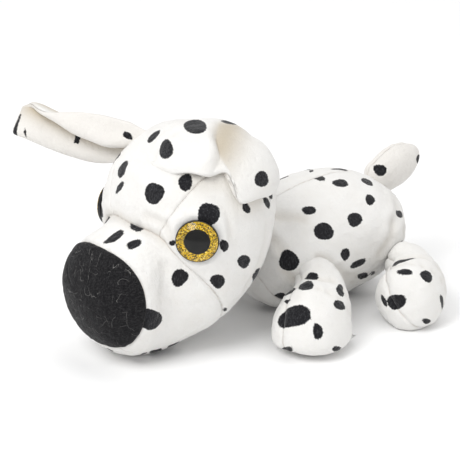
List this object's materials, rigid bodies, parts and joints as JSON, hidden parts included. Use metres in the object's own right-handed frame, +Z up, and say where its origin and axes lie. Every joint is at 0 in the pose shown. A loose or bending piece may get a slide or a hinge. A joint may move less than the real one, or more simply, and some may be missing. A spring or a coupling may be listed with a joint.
{
  "type": "plush dog",
  "caption": "Soft spotted puppy lying on its belly with its chin on the floor, floppy ears, domed glitter eyes, sewn legs and a short tail.",
  "frame": {"origin": "middle of the flat of the belly, on the plane that the puppy lies on", "axes": "+Z up, the puppy faces -Y, its left side is +X"},
  "size_m": [0.1577, 0.2087, 0.1071],
  "materials": {
    "plush_fabric": "short white pile with printed black spots",
    "nose_felt": "short black pile with pale lint",
    "fibre_stuffing": "loose polyester fibre",
    "sewing_thread": "white thread",
    "eye_lens": "clear gloss",
    "glitter_iris": "gold glitter",
    "black_plastic": "black gloss",
    "washer_plastic": "white moulded"
  },
  "bodies": {
    "torso": {"body_left_panel": "plush_fabric", "body_right_panel": "plush_fabric", "belly_panel": "plush_fabric", "body_stuffing": "fibre_stuffing"},
    "neck": {"neck_seam": "sewing_thread"},
    "head": {"forehead_gusset": "plush_fabric", "head_left_panel": "plush_fabric", "head_right_panel": "plush_fabric", "muzzle_panel": "plush_fabric", "chin_panel": "plush_fabric", "nose_cover": "nose_felt", "head_stuffing": "fibre_stuffing", "eye_left_dome": "eye_lens", "eye_left_iris": "glitter_iris", "eye_left_pupil": "black_plastic", "eye_left_back": "black_plastic", "eye_left_washer": "washer_plastic", "eye_right_dome": "eye_lens", "eye_right_iris": "glitter_iris", "eye_right_pupil": "black_plastic", "eye_right_back": "black_plastic", "eye_right_washer": "washer_plastic"},
    "ear_left": {"ear_left_outer": "plush_fabric", "ear_left_inner": "plush_fabric"},
    "ear_right": {"ear_right_outer": "plush_fabric", "ear_right_inner": "plush_fabric"},
    "front_left_leg": {"front_left_leg_outer": "plush_fabric", "front_left_leg_inner": "plush_fabric", "front_left_leg_stuffing": "fibre_stuffing"},
    "front_right_leg": {"front_right_leg_outer": "plush_fabric", "front_right_leg_inner": "plush_fabric", "front_right_leg_stuffing": "fibre_stuffing"},
    "hind_left_leg": {"hind_left_leg_outer": "plush_fabric", "hind_left_leg_inner": "plush_fabric", "hind_left_leg_stuffing": "fibre_stuffing"},
    "hind_right_leg": {"hind_right_leg_outer": "plush_fabric", "hind_right_leg_inner": "plush_fabric", "hind_right_leg_stuffing": "fibre_stuffing"},
    "tail": {"tail_left_panel": "plush_fabric", "tail_right_panel": "plush_fabric", "tail_stuffing": "fibre_stuffing"}
  },
  "joints": [
    {"name": "neck_turn", "type": "hinge", "parent": "torso", "child": "neck", "pos_m": [0, -0.0445, 0.045], "axis": [0, 0, 1], "range_deg": [-15, 15], "stiffness_Nm_per_rad": 0.35},
    {"name": "head_nod", "type": "hinge", "parent": "neck", "child": "head", "pos_m": [0, -0.0445, 0.045], "axis": [1, 0, 0], "range_deg": [-12, 6], "stiffness_Nm_per_rad": 0.35},
    {"name": "ear_left_flap", "type": "hinge", "parent": "head", "child": "ear_left", "pos_m": [0.0171, -0.1028, 0.0895], "axis": [0.944, 0.0904, -0.3173], "range_deg": [0, 45], "stiffness_Nm_per_rad": 0.004},
    {"name": "ear_right_flap", "type": "hinge", "parent": "head", "child": "ear_right", "pos_m": [-0.0322, -0.0902, 0.0972], "axis": [0.0908, -0.4087, 0.9082], "range_deg": [-25, 10], "stiffness_Nm_per_rad": 0.004},
    {"name": "front_left_leg_swing", "type": "hinge", "parent": "torso", "child": "front_left_leg", "pos_m": [0.0285, -0.027, 0.026], "axis": [0, 0, 1], "range_deg": [-15, 15], "stiffness_Nm_per_rad": 0.03},
    {"name": "front_right_leg_swing", "type": "hinge", "parent": "torso", "child": "front_right_leg", "pos_m": [-0.0285, -0.027, 0.026], "axis": [0, 0, 1], "range_deg": [-15, 15], "stiffness_Nm_per_rad": 0.03},
    {"name": "hind_left_leg_swing", "type": "hinge", "parent": "torso", "child": "hind_left_leg", "pos_m": [0.0345, 0.026, 0.024], "axis": [0, 0, 1], "range_deg": [-3, 18], "stiffness_Nm_per_rad": 0.03},
    {"name": "hind_right_leg_swing", "type": "hinge", "parent": "torso", "child": "hind_right_leg", "pos_m": [-0.0345, 0.026, 0.024], "axis": [0, 0, 1], "range_deg": [-18, 3], "stiffness_Nm_per_rad": 0.03},
    {"name": "tail_wag", "type": "hinge", "parent": "torso", "child": "tail", "pos_m": [0, 0.0395, 0.0515], "axis": [0, 0, 1], "range_deg": [-25, 25], "stiffness_Nm_per_rad": 0.004}
  ]
}
